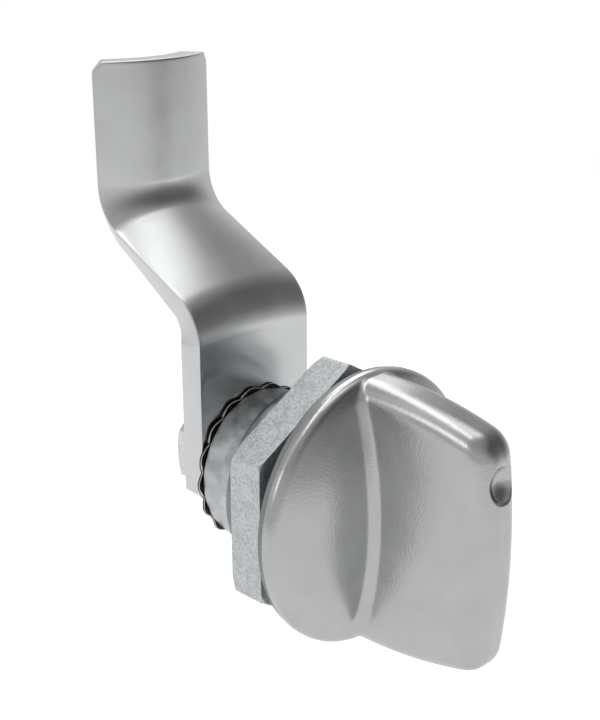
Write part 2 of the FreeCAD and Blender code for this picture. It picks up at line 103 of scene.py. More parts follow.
def makeCamera(c):
    # It looks along (sin turn cos dip, cos turn cos dip, -sin dip); across is level before the roll
    turn, dip, roll = (math.radians(c[word]) for word in ("turn", "dip", "roll"))
    ahead = Vector((math.sin(turn) * math.cos(dip), math.cos(turn) * math.cos(dip), -math.sin(dip)))
    across = Vector((math.cos(turn), -math.sin(turn), 0))
    up = across.cross(ahead)
    rolledAcross = across * math.cos(roll) + up * math.sin(roll)
    rolledUp = up * math.cos(roll) - across * math.sin(roll)
    data = bpy.data.cameras.new("camera")
    data.sensor_width = c["sensor"]
    data.lens = c["lens"]
    data.clip_start = c["near"] * mm
    data.clip_end = c["far"] * mm
    made = bpy.data.objects.new("camera", data)
    bpy.context.scene.collection.objects.link(made)
    made.matrix_world = Matrix((rolledAcross, rolledUp, -ahead)).transposed().to_4x4()
    made.location = Vector(c["place"]) * mm
    bpy.context.scene.camera = made


makeCamera(camera)


def addNode(tree, kind, inputs=None, **settings):
    # Inputs are values or other nodes' sockets; the helpers after this one give back the result's socket
    made = tree.nodes.new(kind)
    for word, value in settings.items():
        setattr(made, word, value)
    for word, value in (inputs or {}).items():
        if isinstance(value, bpy.types.NodeSocket):
            tree.links.new(value, made.inputs[word])
        else:
            made.inputs[word].default_value = value
    return made


def calc(tree, operation, *values):
    return addNode(tree, "ShaderNodeMath", dict(enumerate(values)), operation=operation).outputs[0]


def vectorCalc(tree, operation, *values, out="Vector"):
    return addNode(tree, "ShaderNodeVectorMath", dict(enumerate(values)), operation=operation).outputs[out]


def grey(value, tint=(1, 1, 1)):
    return (value * tint[0], value * tint[1], value * tint[2], 1)


def noise(tree, place, size, detail=2, rough=0.5, stretch=(1, 1, 1), turn=(0.5, 0.35, 0.8)):
    # Noise whose blobs are about size mm across, in the object's own place, turned so that no flat face
    # lies along the noise's own cells
    turned = addNode(tree, "ShaderNodeMapping", {"Vector": place, "Scale": stretch, "Rotation": turn})
    made = addNode(tree, "ShaderNodeTexNoise", {
        "Vector": turned.outputs[0], "Scale": 1 / (size * mm), "Detail": detail, "Roughness": rough})
    return made.outputs["Fac"]


def ramp(tree, value, low, high, toLow, toHigh):
    # Map value from low..high to toLow..toHigh, eased at both ends
    return addNode(tree, "ShaderNodeMapRange", {
        "Value": value, "From Min": low, "From Max": high, "To Min": toLow, "To Max": toHigh},
        interpolation_type="SMOOTHSTEP").outputs[0]


def blendColour(tree, share, first, second):
    made = addNode(tree, "ShaderNodeMix", data_type="RGBA")
    tree.links.new(share, made.inputs["Factor"])
    for socket, value in ((made.inputs["A"], first), (made.inputs["B"], second)):
        if isinstance(value, bpy.types.NodeSocket):
            tree.links.new(value, socket)
        else:
            socket.default_value = value
    return made.outputs["Result"]


def bump(tree, height, depth, normal=None):
    made = addNode(tree, "ShaderNodeBump", {"Height": height, "Distance": depth * mm, "Strength": 1})
    if normal:
        tree.links.new(normal, made.inputs["Normal"])
    return made.outputs[0]


def newMaterial(name, metallic=1.0):
    made = bpy.data.materials.new(name)
    made.use_nodes = True
    tree = made.node_tree
    shader = tree.nodes["Principled BSDF"]
    shader.inputs["Metallic"].default_value = metallic
    place = addNode(tree, "ShaderNodeTexCoord").outputs["Object"]
    return made, tree, shader, place


def edgeMask(tree, width):
    # 0 on open faces, towards 1 within width mm of an edge, where the rounded normal leaves the true one
    rounder = addNode(tree, "ShaderNodeBevel", {"Radius": width * mm}, samples=4).outputs[0]
    true = addNode(tree, "ShaderNodeNewGeometry").outputs["Normal"]
    return ramp(tree, vectorCalc(tree, "DOT_PRODUCT", rounder, true, out="Value"), 0.995, 0.85, 0, 1)


def metalColour(tree, share, c):
    # From dark to light by share, and worn along the edges
    colour = blendColour(tree, share, grey(c["dark"], c["tint"]), grey(c["light"], c["tint"]))
    return blendColour(tree, edgeMask(tree, c["edge"]), colour, grey(c["worn"], c["tint"]))


def connect(tree, shader, colour, roughness, normal):
    for socket, value in (("Base Color", colour), ("Roughness", roughness), ("Normal", normal)):
        tree.links.new(value, shader.inputs[socket])


usual = (0.3, 0.7)      # most of a noise's values lie between these

castKnob = {
    "dark": 0.49, "light": 0.53, "worn": 0.6, "tint": (0.99, 1.0, 1.0), "edge": 0.25,
    "roughness": (0.2, 0.25), "cloud": 4,
    "grain": 0.25, "grainDepth": 0.0155,
    "swell": 1.5, "swellDepth": 0.006,
}


def castKnobFinish(c):
    # Blasted and plated casting: fine orange peel over slow swells
    made, tree, shader, place = newMaterial("satin_cast_knob")
    cloud = noise(tree, place, c["cloud"], 3)
    grain = noise(tree, place, c["grain"], 2, 0.6)
    swell = noise(tree, place, c["swell"], 1)
    slow = bump(tree, swell, c["swellDepth"])
    connect(tree, shader, metalColour(tree, ramp(tree, cloud, *usual, 0, 1), c),
            ramp(tree, cloud, *usual, *c["roughness"]), bump(tree, grain, c["grainDepth"], slow))
    return made


spangledZinc = {
    "dark": 0.5, "light": 0.765, "worn": 0.84, "tint": (0.94, 0.985, 1.0), "edge": 0.12, "metallic": 0.85,
    "contrast": (0.65, 1.3), "glossContrast": (0.4, 0.95), "roughness": (0.36, 0.48),
    "grain": 0.15, "fleck": 0.22, "fleckShare": 0.45, "grainDepth": 0.009, "cloud": 1.6, "cloudShare": 0.5,
}


def spangledZincFinish(c):
    # Galvanised zinc: crystal flecks of two sizes, each with its own tone and gloss
    made, tree, shader, place = newMaterial("spangled_zinc", c["metallic"])
    fine = noise(tree, place, c["grain"], 2, 0.7)
    fleck = addNode(tree, "ShaderNodeTexVoronoi", {"Vector": place, "Scale": 1 / (c["fleck"] * mm)})
    fleckTone = addNode(tree, "ShaderNodeSeparateColor", {0: fleck.outputs["Color"]}).outputs[0]
    mixed = calc(tree, "MULTIPLY_ADD", fleckTone, c["fleckShare"], fine)
    clouded = calc(tree, "MULTIPLY_ADD", noise(tree, place, c["cloud"], 2), c["cloudShare"], mixed)
    connect(tree, shader, metalColour(tree, ramp(tree, clouded, *c["contrast"], 0, 1), c),
            ramp(tree, mixed, *c["glossContrast"], *c["roughness"]), bump(tree, mixed, c["grainDepth"]))
    return made


polishedSteel = {
    "dark": 0.66, "light": 0.7, "worn": 0.8, "tint": (0.98, 0.99, 1.0), "edge": 0.18,
    "roughness": (0.2, 0.26), "cloud": 5.0,
    "brush": 0.25, "brushStretch": (1, 1, 0.2), "brushTurn": (0.05, 0.03, 0.02), "brushDepth": 0.0015,
}


def polishedSteelFinish(c):
    # Tumbled stainless plate: nearly mirror bright, with a slow clouding of its gloss and a faint brush
    made, tree, shader, place = newMaterial("polished_steel")
    cloud = noise(tree, place, c["cloud"], 3)
    brush = noise(tree, place, c["brush"], 2, 0.6, c["brushStretch"], c["brushTurn"])
    connect(tree, shader, metalColour(tree, ramp(tree, cloud, *usual, 0, 1), c),
            ramp(tree, cloud, *usual, *c["roughness"]), bump(tree, brush, c["brushDepth"]))
    return made


castHousing = {
    "dark": 0.48, "light": 0.64, "worn": 0.74, "tint": (0.96, 1.0, 1.02), "edge": 0.15,
    "roughness": (0.28, 0.42), "cloud": 1.9, "contrast": (0.35, 0.65), "peel": 2.4, "peelDepth": 0.2,
    # the threaded barrel's colour: painted shade and reflection of the nut's rear face, darker and bluer
    "barrel": (0.25, 0.275, 0.31, 1), "barrelFrom": (0.2, 0.4), "barrelShadeTo": (10.05, 10.25),
    "flange": (0.3, 0.31, 0.32, 1), "flangeRoughness": 0.5,
}


def castHousingFinish(c):
    # Bright zinc plating on a casting: cloudy reflections and a soft peel. The threaded barrel is painted
    # darker and bluer, as painted shade and reflection of the nut's rear face, and the flange before it is
    # left as cast.
    made, tree, shader, place = newMaterial("bright_cast_housing")
    cloud = noise(tree, place, c["cloud"], 2)
    peel = noise(tree, place, c["peel"], 0.8)
    along = addNode(tree, "ShaderNodeSeparateXYZ", {0: place}).outputs["Y"]
    pastFlange, pastBarrelShade = (
        ramp(tree, along, first * mm, last * mm, 0, 1) for first, last in (c["barrelFrom"], c["barrelShadeTo"]))
    colour = metalColour(tree, ramp(tree, cloud, *c["contrast"], 0, 1), c)
    # painted shade and reflection of the nut over the threaded barrel
    colour = blendColour(tree, pastBarrelShade, c["barrel"], colour)
    colour = blendColour(tree, pastFlange, c["flange"], colour)
    gloss = ramp(tree, cloud, *c["contrast"], *c["roughness"])
    gloss = addNode(tree, "ShaderNodeMix", {"Factor": pastFlange, "A": c["flangeRoughness"], "B": gloss})
    connect(tree, shader, colour, gloss.outputs["Result"], bump(tree, peel, c["peelDepth"]))
    return made


plainGrainDepth = 0.005
plainContrast = (0.85, 1.15)        # the colour's share at the darkest and lightest grain
plainFinishes = {
    "black_steel": {
        "colour": 0.03, "metallic": 0.9, "roughness": (0.3, 0.45), "grain": 0.3,
        # bare metal and painted highlight on the front bevels, whose normals' Y is near arrisFacing
        "wearAndHighlightArris": 0.7, "arrisFacing": -0.7, "arrisWithin": (0.2, 0.14)},
    "zinc_screw": {"colour": 0.72, "metallic": 1.0, "roughness": (0.26, 0.38), "grain": 0.22},
    "seal_rubber": {"colour": 0.02, "metallic": 0.0, "roughness": (0.55, 0.7), "grain": 0.2},
}


def plainFinish(name, c):
    made, tree, shader, place = newMaterial(name, c["metallic"])
    grain = noise(tree, place, c["grain"], 2)
    darker, lighter = (grey(c["colour"] * share) for share in plainContrast)
    colour = blendColour(tree, ramp(tree, grain, *usual, 0, 1), darker, lighter)
    if "wearAndHighlightArris" in c:
        # lighter on the front bevels: bare metal and painted highlight
        facing = addNode(tree, "ShaderNodeTexCoord").outputs["Normal"]
        lean = addNode(tree, "ShaderNodeSeparateXYZ", {0: facing}).outputs["Y"]
        off = calc(tree, "ABSOLUTE", calc(tree, "SUBTRACT", lean, c["arrisFacing"]))
        colour = blendColour(tree, ramp(tree, off, *c["arrisWithin"], 0, 1), colour, grey(c["wearAndHighlightArris"]))
    gloss = ramp(tree, grain, *usual, *c["roughness"])
    connect(tree, shader, colour, gloss, bump(tree, grain, plainGrainDepth))
    return made


finishes = {
    "cast_knob": castKnobFinish(castKnob),
    "cast_housing": castHousingFinish(castHousing),
    "zinc": spangledZincFinish(spangledZinc),
    "stainless": polishedSteelFinish(polishedSteel),
    **{name: plainFinish(name, c) for name, c in plainFinishes.items()},
}
print("finishes made:", len(finishes))


cam = {
    "front": 16.4, "thickness": 3.2, "halfWidth": 8.45,
    "square": 4.05,
    "noseHalf": 1.25, "noseReach": 8.0, "shoulder": 2.0,
    "bendStart": 15.7, "bend": 64, "lowerRadius": 6.0, "upperRadius": 5.8,
    "step": 17.1, "reach": 45.3,
    "arch": 39, "archLag": 0.35,
    "tipCorner": 1.1, "edgeRound": 0.22,
    # how many quads: across, up the sides and round the tip's corners, down the root's sides, along the
    # nose's sides and its end, and from the square hole out
    "columns": 40, "sideRows": 146, "cornerRows": 4,
    "rootRows": 16, "noseRows": 6, "noseEnd": 4, "plateRows": 8,
}


def camRun(c):
    # A bend of radius r through angle a is r a long, rises r sin(a) and goes back r (1 - cos(a)). The ramp
    # between the two makes up the rest of the step. Gives the length from bend's start to bend's end, the
    # ramp's own length and the whole rise.
    bend = math.radians(c["bend"])
    radii = c["lowerRadius"] + c["upperRadius"]
    straight = (c["step"] - radii * (1 - math.cos(bend))) / math.sin(bend)
    return radii * bend + straight, straight, radii * math.sin(bend) + straight * math.cos(bend)


def camBend(c, flat, depth):
    # Bends the flat blank's points (across, along). Along, it runs up, leans back through the lower bend and
    # the ramp, and stands upright again through the upper bend. Across, it is an arch of angle
    # arch sin(90 deg * share of the run) (1 - archLag (1 - share)), so a point lies on a circle of
    # radius halfWidth / sin(angle) less its depth, at angle * across / halfWidth from the middle.
    across, along = flat[..., 0], flat[..., 1]
    bend = math.radians(c["bend"])
    low, high = c["lowerRadius"], c["upperRadius"]
    run, rampRun = camRun(c)[:2]
    passed = along - c["bendStart"]
    first = np.clip(passed / low, 0, bend)
    straight = np.clip(passed - low * bend, 0, rampRun)
    second = np.clip((passed - low * bend - rampRun) / high, 0, bend)
    tilt = first - second
    back = (low * (1 - np.cos(first)) + straight * math.sin(bend)
            + high * (np.cos(bend - second) - math.cos(bend)))
    rise = (low * np.sin(first) + straight * math.cos(bend) + high * (math.sin(bend) - np.sin(bend - second))
            + np.clip(passed - run, 0, None) + np.minimum(passed, 0))
    share = np.clip(passed / run, 1e-5, 1)
    arch = np.radians(c["arch"]) * np.sin(math.pi / 2 * share) * (1 - c["archLag"] * (1 - share))
    radius = c["halfWidth"] / np.sin(arch)
    angle = arch * across / c["halfWidth"]
    x = (radius - depth) * np.sin(angle)
    sink = radius * np.cos(arch) - (radius - depth) * np.cos(angle)
    y = c["front"] + back + sink * np.cos(tilt)
    z = c["bendStart"] + rise - sink * np.sin(tilt)
    return np.stack([x, y, z], -1)


def spread(first, last, count):
    # count points evenly from first up to, not including, last
    share = np.arange(count)[:, None] / count
    return np.array(first) * (1 - share) + np.array(last) * share


def inset(loop, amount):
    # Moves each side of a closed outline inwards by amount, with mitred corners
    ahead = np.roll(loop, -1, 0) - loop
    ahead /= np.linalg.norm(ahead, axis=1, keepdims=True)
    inward = np.stack([ahead[:, 1], -ahead[:, 0]], -1)
    before = np.roll(inward, 1, 0)
    mitre = (inward + before) / (1 + (inward * before).sum(1))[:, None]
    return loop + mitre * amount


def makeCam(c):
    # The blank's outline, drawn in along a quarter circle at both faces, and both faces filled side by side
    run, rise = camRun(c)[::2]
    half, corner, start, shoulder = c["halfWidth"], c["tipCorner"], c["bendStart"], -c["shoulder"]
    end = run + c["reach"] - rise
    columns, rows = c["columns"], c["sideRows"] + c["cornerRows"]
    # clockwise from the left end of the lower bend
    left = [spread((-half, start), (-half, end - corner), c["sideRows"]),
            spread((-half, end - corner), (-half + corner, end), c["cornerRows"])]
    tip = spread((-half + corner, end), (half - corner, end), columns)
    right = [spread((half - corner, end), (half, end - corner), c["cornerRows"]),
             spread((half, end - corner), (half, start), c["sideRows"])]
    down = spread((half, start), (half, shoulder), c["rootRows"])
    noseRight, noseLeft = (c["noseHalf"], -c["noseReach"]), (-c["noseHalf"], -c["noseReach"])
    nose = [spread((half, shoulder), noseRight, c["noseRows"]),
            spread(noseRight, noseLeft, c["noseEnd"]),
            spread(noseLeft, (-half, shoulder), c["noseRows"])]
    up = spread((-half, shoulder), (-half, start), c["rootRows"])
    loop = np.concatenate(left + [tip] + right + [down] + nose + [up])
    turned = np.radians(np.linspace(0, 90, 5))
    edge, thick = c["edgeRound"], c["thickness"]
    profile = [(edge * (1 - math.sin(t)), edge * (1 - math.cos(t))) for t in turned]
    profile += [(shift, thick - depth) for shift, depth in reversed(profile)]
    band = []
    for shift, depth in profile:
        ring = inset(loop, shift)
        band.append(camBend(c, np.concatenate([ring, ring[:1]]), depth))
    sheets = [np.stack(band)]

    face = inset(loop, edge)
    leftSide = face[:rows + 1]
    tipRow = face[rows:rows + columns + 1]
    rightSide = face[rows + columns:2 * rows + columns + 1][::-1]
    share = np.linspace(0, 1, columns + 1)[None, :, None]
    strip = leftSide[:, None] * (1 - share) + rightSide[:, None] * share
    strip[-1] = tipRow
    # from the square hole out to the outline of the root, side by side
    rootLoop = np.concatenate([strip[0], face[2 * rows + columns + 1:], strip[0][:1]])
    s = c["square"]
    counts = (columns, c["rootRows"], 2 * c["noseRows"] + c["noseEnd"], c["rootRows"])
    corners = [(-s, s), (s, s), (s, -s), (-s, -s), (-s, s)]
    hole = [spread(a, b, n) for a, b, n in zip(corners, corners[1:], counts)]
    hole = np.concatenate(hole + [np.array([corners[0]])])
    share = np.linspace(0, 1, c["plateRows"] + 1)[:, None, None]
    plate = hole[None] * (1 - share) + rootLoop[None] * share
    sheets += [camBend(c, flat, depth) for depth in (0, thick) for flat in (strip, plate)]
    sheets.append(np.stack([camBend(c, hole, depth) for depth in (0, thick)]))
    return makePiece("bent_cam", sheets)


finishPiece(makeCam(cam), "rotor", finishes["stainless"], "cam")


def rounded(points, reach, steps=4):
    # Each inner corner of a run of points gives way to a curve that begins and ends reach away from it, or
    # 0.45 of its shorter side if that is less: first (1 - u)^2 + corner 2 u (1 - u) + last u^2
    points = np.asarray(points, float)
    u = np.linspace(0, 1, steps + 1)[:, None]
    rows = [points[:1]]
    for before, corner, after in zip(points, points[1:], points[2:]):
        back, ahead = before - corner, after - corner
        near = min(reach, 0.45 * np.linalg.norm(back), 0.45 * np.linalg.norm(ahead))
        first = corner + back / np.linalg.norm(back) * near
        last = corner + ahead / np.linalg.norm(ahead) * near
        rows.append(first * (1 - u) ** 2 + corner * 2 * u * (1 - u) + last * u ** 2)
    return np.concatenate(rows + [points[-1:]])


def ringed(loop, reach, steps=4):
    # The same for a closed run: it starts and ends in the middle of its last side
    loop = np.asarray(loop, float)
    middle = (loop[:1] + loop[-1:]) / 2
    return rounded(np.concatenate([middle, loop, middle]), reach, steps)


def lathe(profile, turn):
    # Each (radius, y) of the profile turned round the Y axis: (radius cos t, y, radius sin t)
    radius, y = np.asarray(profile, float).T
    t = turn[:, None]
    return np.stack([radius * np.cos(t), np.broadcast_to(y, (len(turn), len(y))), radius * np.sin(t)], -1)


def smooth(value):
    held = np.clip(value, 0, 1)
    return held * held * (3 - 2 * held)


def threadSheet(turn, radius, depth, pitch, first, last, fade):
    # A groove wound round the axis. At turn t and step u the place is first + pitch (u + t / 360 deg - 1),
    # held between the ends. The radius is less by depth times a V over each whole u, whose crest is flat
    # for a share and whose corners are soft by a share, and which fades out over fade at both ends.
    beats = np.array([0, 0.05, 0.1, 0.2, 0.3, 0.4, 0.46, 0.5, 0.54, 0.6, 0.7, 0.8, 0.9, 0.95])
    turns = int(math.ceil((last - first) / pitch)) + 1
    u = (np.arange(turns)[:, None] + beats).ravel()
    u = np.append(u, turns)[None, :]
    along = (turn - turn[0])[:, None] / (2 * math.pi)
    y = np.clip(first + pitch * (u + along - 1), first, last)
    flat, soft = 0.1, 0.4
    valley = np.clip((1 - np.abs(2 * (u % 1) - 1) - flat) / (1 - 2 * flat), 0, 1)
    valley = (1 - soft) * valley + soft * smooth(valley)
    kept = smooth((y - first) / fade) * smooth((last - y) / fade)
    r = radius - depth * valley * kept
    t = turn[:, None]
    return np.stack([r * np.cos(t), y, r * np.sin(t)], -1)


nut = {
    "front": 1.5, "rear": 6.0, "flats": 27.0, "cornerRound": 0.4, "perSide": 30, "perCorner": 6,
    "frontCut": 0.39, "frontBevel": 30, "rearCut": 0.79, "rearBevel": 30, "edgeRound": 0.12,
    "bore": 11.05, "boreBevel": 0.45, "boreRound": 0.08, "faceBand": 0.6,
}

screw = {
    "front": 21.2, "rear": 25.2, "flats": 10.0, "cornerRound": 0.15, "perSide": 16, "perCorner": 4,
    "frontCut": 0.06, "frontBevel": 30, "rearCut": 1.07, "rearBevel": 30, "edgeRound": 0.1,
    "crown": 2.2, "seat": 3.6, "seatRound": 0.15,
    "shank": 3.0, "length": 12.0, "point": 0.5,
    "pitch": 1.0, "threadDepth": 0.5, "threadedTo": 20.2, "fade": 0.8,
}


def hexagonLoop(c):
    # One side runs across at flats / 2 from the middle, closer spaced at its ends, and a corner's arc of
    # 60 deg follows it. The loop is that sixth turned six times.
    half, r = c["flats"] / 2, c["cornerRound"]
    reach = (half - r) * math.tan(math.radians(30))
    across = np.sin(np.linspace(-math.pi / 2, math.pi / 2, c["perSide"] + 1)) * reach
    side = np.stack([np.full(len(across), half), across], -1)
    bent = np.radians(np.linspace(0, 60, c["perCorner"] + 1)[1:-1])
    corner = np.stack([half - r + r * np.cos(bent), reach + r * np.sin(bent)], -1)
    sixth = np.concatenate([side, corner])
    turns = np.radians(np.arange(0, 360, 60))
    spun = [sixth @ np.array([[math.cos(t), math.sin(t)], [-math.sin(t), math.cos(t)]]) for t in turns]
    return np.concatenate(spun + [sixth[:1]])


def hexagonWall(c, loop):
    # Rings up the outside. A ring is the loop drawn in so that no point is further out than either
    # bevel's cone, with a soft smaller-of-two, (a + b - sqrt((a - b)^2 + soft^2)) / 2, and less again
    # where the edge is rounded.
    front, rear, edge = c["front"], c["rear"], c["edgeRound"]
    edgeRows, bevelRows, wallRows, soft = 4, 8, 5, 0.06
    corner = c["flats"] / 2 / math.cos(math.radians(30))
    bent = np.radians(np.linspace(0, 90, edgeRows + 1))
    near = edge * (1 - np.cos(bent))
    draw = edge * (1 - np.sin(bent))
    slopes = [math.tan(math.radians(c[word])) for word in ("frontBevel", "rearBevel")]
    depths = [np.linspace(edge, max(cut * slope * 1.5, edge + 0.2), bevelRows + 1)[1:]
              for cut, slope in zip((c["frontCut"], c["rearCut"]), slopes)]
    middle = np.linspace(front + depths[0][-1], rear - depths[1][-1], wallRows + 1)[1:-1]
    y = np.concatenate([front + near, front + depths[0], middle, rear - depths[1][::-1], rear - near[::-1]])
    drawn = np.concatenate([draw, np.zeros(len(y) - 2 * len(draw)), draw[::-1]])
    frontLimit = corner - c["frontCut"] + (y - front) / slopes[0]
    rearLimit = corner - c["rearCut"] + (rear - y) / slopes[1]
    limit = np.minimum(frontLimit, rearLimit)[:, None]
    far = np.linalg.norm(loop, axis=1)[None, :]
    held = (far + limit - np.sqrt((far - limit) ** 2 + soft ** 2)) / 2
    share = (held - drawn[:, None]) / far
    return np.stack([loop[:, 0] * share, np.broadcast_to(y[:, None], share.shape), loop[:, 1] * share], -1)


def circleRows(profile, loop):
    # Circles about the axis with their points on the same rays as the loop's
    far = np.linalg.norm(loop, axis=1)
    radius, y = np.asarray(profile, float).T
    unit = loop / far[:, None]
    flat = unit[None] * radius[:, None, None]
    return np.stack([flat[..., 0], np.broadcast_to(y[:, None], flat.shape[:2]), flat[..., 1]], -1)


def makeNut(c):
    # The outside wall, a band of both faces, and the bevelled bore, all with their points on the same rays
    loop = hexagonLoop(c)
    wall = hexagonWall(c, loop)
    bore, wide = c["bore"], c["bore"] + c["boreBevel"]
    front, rear, bevel, band = c["front"], c["rear"], c["boreBevel"], c["faceBand"]
    inside = rounded([(wide + band, rear), (wide, rear), (bore, rear - bevel),
                      (bore, front + bevel), (wide, front), (wide + band, front)], c["boreRound"])
    return makePiece("hexagon_nut", [np.concatenate([wall, circleRows(inside, loop), wall[:1]])], 35)


def makeScrew(c):
    # The head's crown and wall, its seat and plain neck, the thread, and the point, on the same rays too
    loop = hexagonLoop(c)
    wall = hexagonWall(c, loop)
    front, rear, shank, tip = c["front"], c["rear"], c["shank"], c["front"] - c["length"]
    threadStart = tip + c["point"]
    turn = np.unwrap(np.arctan2(loop[:, 1], loop[:, 0]))
    top = circleRows([(0, rear), (c["crown"], rear)], loop)
    under = rounded([(c["seat"], front), (shank, front), (shank, c["threadedTo"])], c["seatRound"])
    under = np.concatenate([wall[:1], circleRows(under, loop)])
    thread = threadSheet(turn, shank, c["threadDepth"], c["pitch"], threadStart, c["threadedTo"], c["fade"])
    end = circleRows([(shank, threadStart), (shank - c["point"], tip), (0, tip)], loop)
    return makePiece("hexagon_screw", [np.concatenate([top, wall[::-1]]), under, thread, end], 35)


finishPiece(makeNut(nut), "housing", finishes["zinc"], "mounting_nut")
finishPiece(makeScrew(screw), "rotor", finishes["zinc_screw"], "cam_screw")


housing = {
    "flange": 15.3, "flangeFront": -0.7, "rimBand": 0.3, "rimRound": 0.15, "bore": 6.0, "boreBevel": 0.35,
    "barrel": 11.0, "barrelEnd": 10.2, "barrelBevel": 0.6,
    "pitch": 1.5, "threadDepth": 0.75, "threadedFrom": 0.1, "threadedTo": 8.7, "fade": 0.7,
    "neck": 8.95, "end": 15.8, "neckRound": 0.25,
    "slotRadius": 8.0, "slotHalf": 1.12, "slotDepth": 2.8, "slotEnds": 45, "slotRows": 9,
    "ringInside": 6.6, "ringsOutside": (9.6, 12.0),     # plain rows on either side of the slot
    "quarter": 36,                                      # quads round a quarter turn
}


def slotFace(c):
    # The front face with the pin's curved slot sunk into it. Inside the slot's band the rows reach
    # slotEnds + sqrt(half^2 - (radius - middle)^2) / middle each way, so that its ends are round, and the
    # rows and columns on its outline are there twice, once up and once down.
    middle, half, quarter = c["slotRadius"], c["slotHalf"], c["quarter"]
    inner = [c["bore"] + c["boreBevel"], c["ringInside"]]
    outer = [*c["ringsOutside"], c["flange"] - c["rimBand"]]
    down = middle + half * np.sin(np.radians(np.linspace(-90, 90, c["slotRows"])))
    radius = np.concatenate([inner, down[:1], down, down[-1:], outer])
    sunk = np.concatenate([np.zeros(len(inner) + 1), np.ones(len(down)), np.zeros(len(outer) + 1)])[None, :]
    bulge = np.sqrt(np.clip(half ** 2 - (radius - middle) ** 2, 0, None)) / middle
    reach = math.radians(c["slotEnds"]) + bulge
    inside = np.linspace(-1, 1, quarter + 1)[:, None] * reach
    share = np.linspace(0, 1, 3 * quarter + 1)[:, None]
    outside = reach * (1 - share) + (2 * math.pi - reach) * share
    t = np.concatenate([inside, outside, inside[:1] + 2 * math.pi])
    low = np.concatenate([np.ones(len(inside)), np.zeros(len(outside)), np.ones(1)])[:, None] * sunk
    y = c["flangeFront"] + c["slotDepth"] * low
    return np.stack([radius * np.cos(t), y, radius * np.sin(t)], -1)


def makeHousing(c):
    # The slotted front face, then profiles turned round the axis with the thread between them
    turn = np.radians(np.linspace(-c["slotEnds"], 360 - c["slotEnds"], 4 * c["quarter"] + 1))
    front, flange, barrel, start = c["flangeFront"], c["flange"], c["barrel"], c["threadedFrom"]
    bore, bevel = c["bore"], c["boreBevel"]
    rim = rounded([(flange - c["rimBand"], front), (flange, front), (flange, 0),
                   (barrel + c["rimBand"], 0), (barrel, 0), (barrel, start)], c["rimRound"])
    thread = threadSheet(turn, barrel, c["threadDepth"], c["pitch"], start, c["threadedTo"], c["fade"])
    back = rounded([
        (barrel, c["threadedTo"]), (barrel, c["barrelEnd"] - c["barrelBevel"]),
        (barrel - c["barrelBevel"], c["barrelEnd"]), (c["neck"], c["barrelEnd"]), (c["neck"], c["end"]),
        (bore, c["end"]), (bore, front + bevel), (bore + bevel, front)], c["neckRound"])
    return makePiece("housing_casting", [slotFace(c), lathe(rim, turn), thread, lathe(back, turn)], 35)


finishPiece(makeHousing(housing), "housing", finishes["cast_housing"], "housing")


toothWasher = {
    "middle": 16.11, "half": 0.2, "bore": 5.4, "ring": 8.3, "notch": 8.93, "tip": 9.4,
    "count": 17, "gap": 0.05, "twist": 0.15, "sheet": 0.13, "foot": 0.92, "fullness": 1.7, "least": 0.15,
    "ringLean": 0.6, "arris": 0.055, "turned": 1.7,
}


def makeToothWasher(c):
    # Across a tooth, share p from 0 to 1, the blade leans from one side of the ring to the other:
    # y = middle + twist (2 p - 1), fully at the tip and ringLean of it at the ring. It comes to a blunt
    # point, notch + (tip - notch) (1 - (|2 p - 1| / foot) ^ fullness), no less than least of the way, and
    # its front arris is bevelled.
    gap = c["gap"]
    beat = np.array([0, gap * 0.6, gap, 0.2, 0.35, 0.5, 0.65, 0.8, 1 - gap, 1 - gap * 0.6])
    step = (np.arange(c["count"])[:, None] + beat).ravel()
    step = np.append(step, c["count"])
    p = step % 1
    turn = (step * 2 * math.pi / c["count"] + math.radians(c["turned"]))[:, None]
    lean = np.clip((p - gap) / (1 - 2 * gap), 0, 1)
    lean = np.where(p < 1e-9, 0, 2 * lean - 1) * c["twist"]
    share = np.clip(1 - (np.abs(2 * p - 1) / c["foot"]) ** c["fullness"], c["least"], 1)
    notch, h, s, a = c["notch"], c["half"], c["sheet"], c["arris"]
    # radius, whether it follows the tooth's reach, place through the thickness, share of the lean
    section = np.array([
        (c["bore"], 0, -h, 0), (c["ring"], 0, -h, 0), (notch - a, 0, -(h + s) / 2, c["ringLean"]),
        (notch - a, 1, -s, 1), (notch, 1, a - s, 1), (notch, 1, s, 1),
        (notch, 0, (h + s) / 2, c["ringLean"]), (c["ring"], 0, h, 0), (c["bore"], 0, h, 0),
        (c["bore"], 0, -h, 0)])
    radius = section[:, 0] + section[:, 1] * ((c["tip"] - notch) * share)[:, None]
    y = c["middle"] + section[:, 2] + section[:, 3] * lean[:, None]
    return makePiece("toothed_washer", [np.stack([radius * np.cos(turn), y, radius * np.sin(turn)], -1)], 35)


springWasher = {
    "front": 19.6, "rear": 21.2, "inner": 3.02, "outer": 5.9, "edgeRound": 0.25,
    "slit": 0.8, "slant": 20, "steps": 72,
}


def makeSpringWasher(c):
    # A rounded square section carried round the axis from one side of a slanted slit to the other: each
    # point starts at asin((slit / 2 + slant's shift) / radius) and stops as far short of a whole turn
    inner, outer, front, rear = c["inner"], c["outer"], c["front"], c["rear"]
    section = ringed([(inner, front), (outer, front), (outer, rear), (inner, rear)], c["edgeRound"])
    shift = (section[:, 1] - (front + rear) / 2) * math.tan(math.radians(c["slant"]))
    first = np.arcsin((c["slit"] / 2 + shift) / section[:, 0])
    last = 2 * math.pi - np.arcsin((c["slit"] / 2 - shift) / section[:, 0])
    share = np.linspace(0, 1, c["steps"] + 1)[:, None]
    t = first * (1 - share) + last * share
    radius = section[:, 0]
    sheet = np.stack([radius * np.sin(t), np.broadcast_to(section[:, 1], t.shape), -radius * np.cos(t)], -1)
    ends = []
    for row in (sheet[0], sheet[-1]):
        middle = row.mean(0)
        share = np.array([0, 0.5, 1])[:, None, None]
        ends.append(row[None] * (1 - share) + middle * share)
    return makePiece("split_washer", [sheet] + ends, 40)


seal = {"inner": 4.14, "outer": 5.94, "front": 11.1, "rear": 12.9, "bevel": 0.6, "steps": 120}


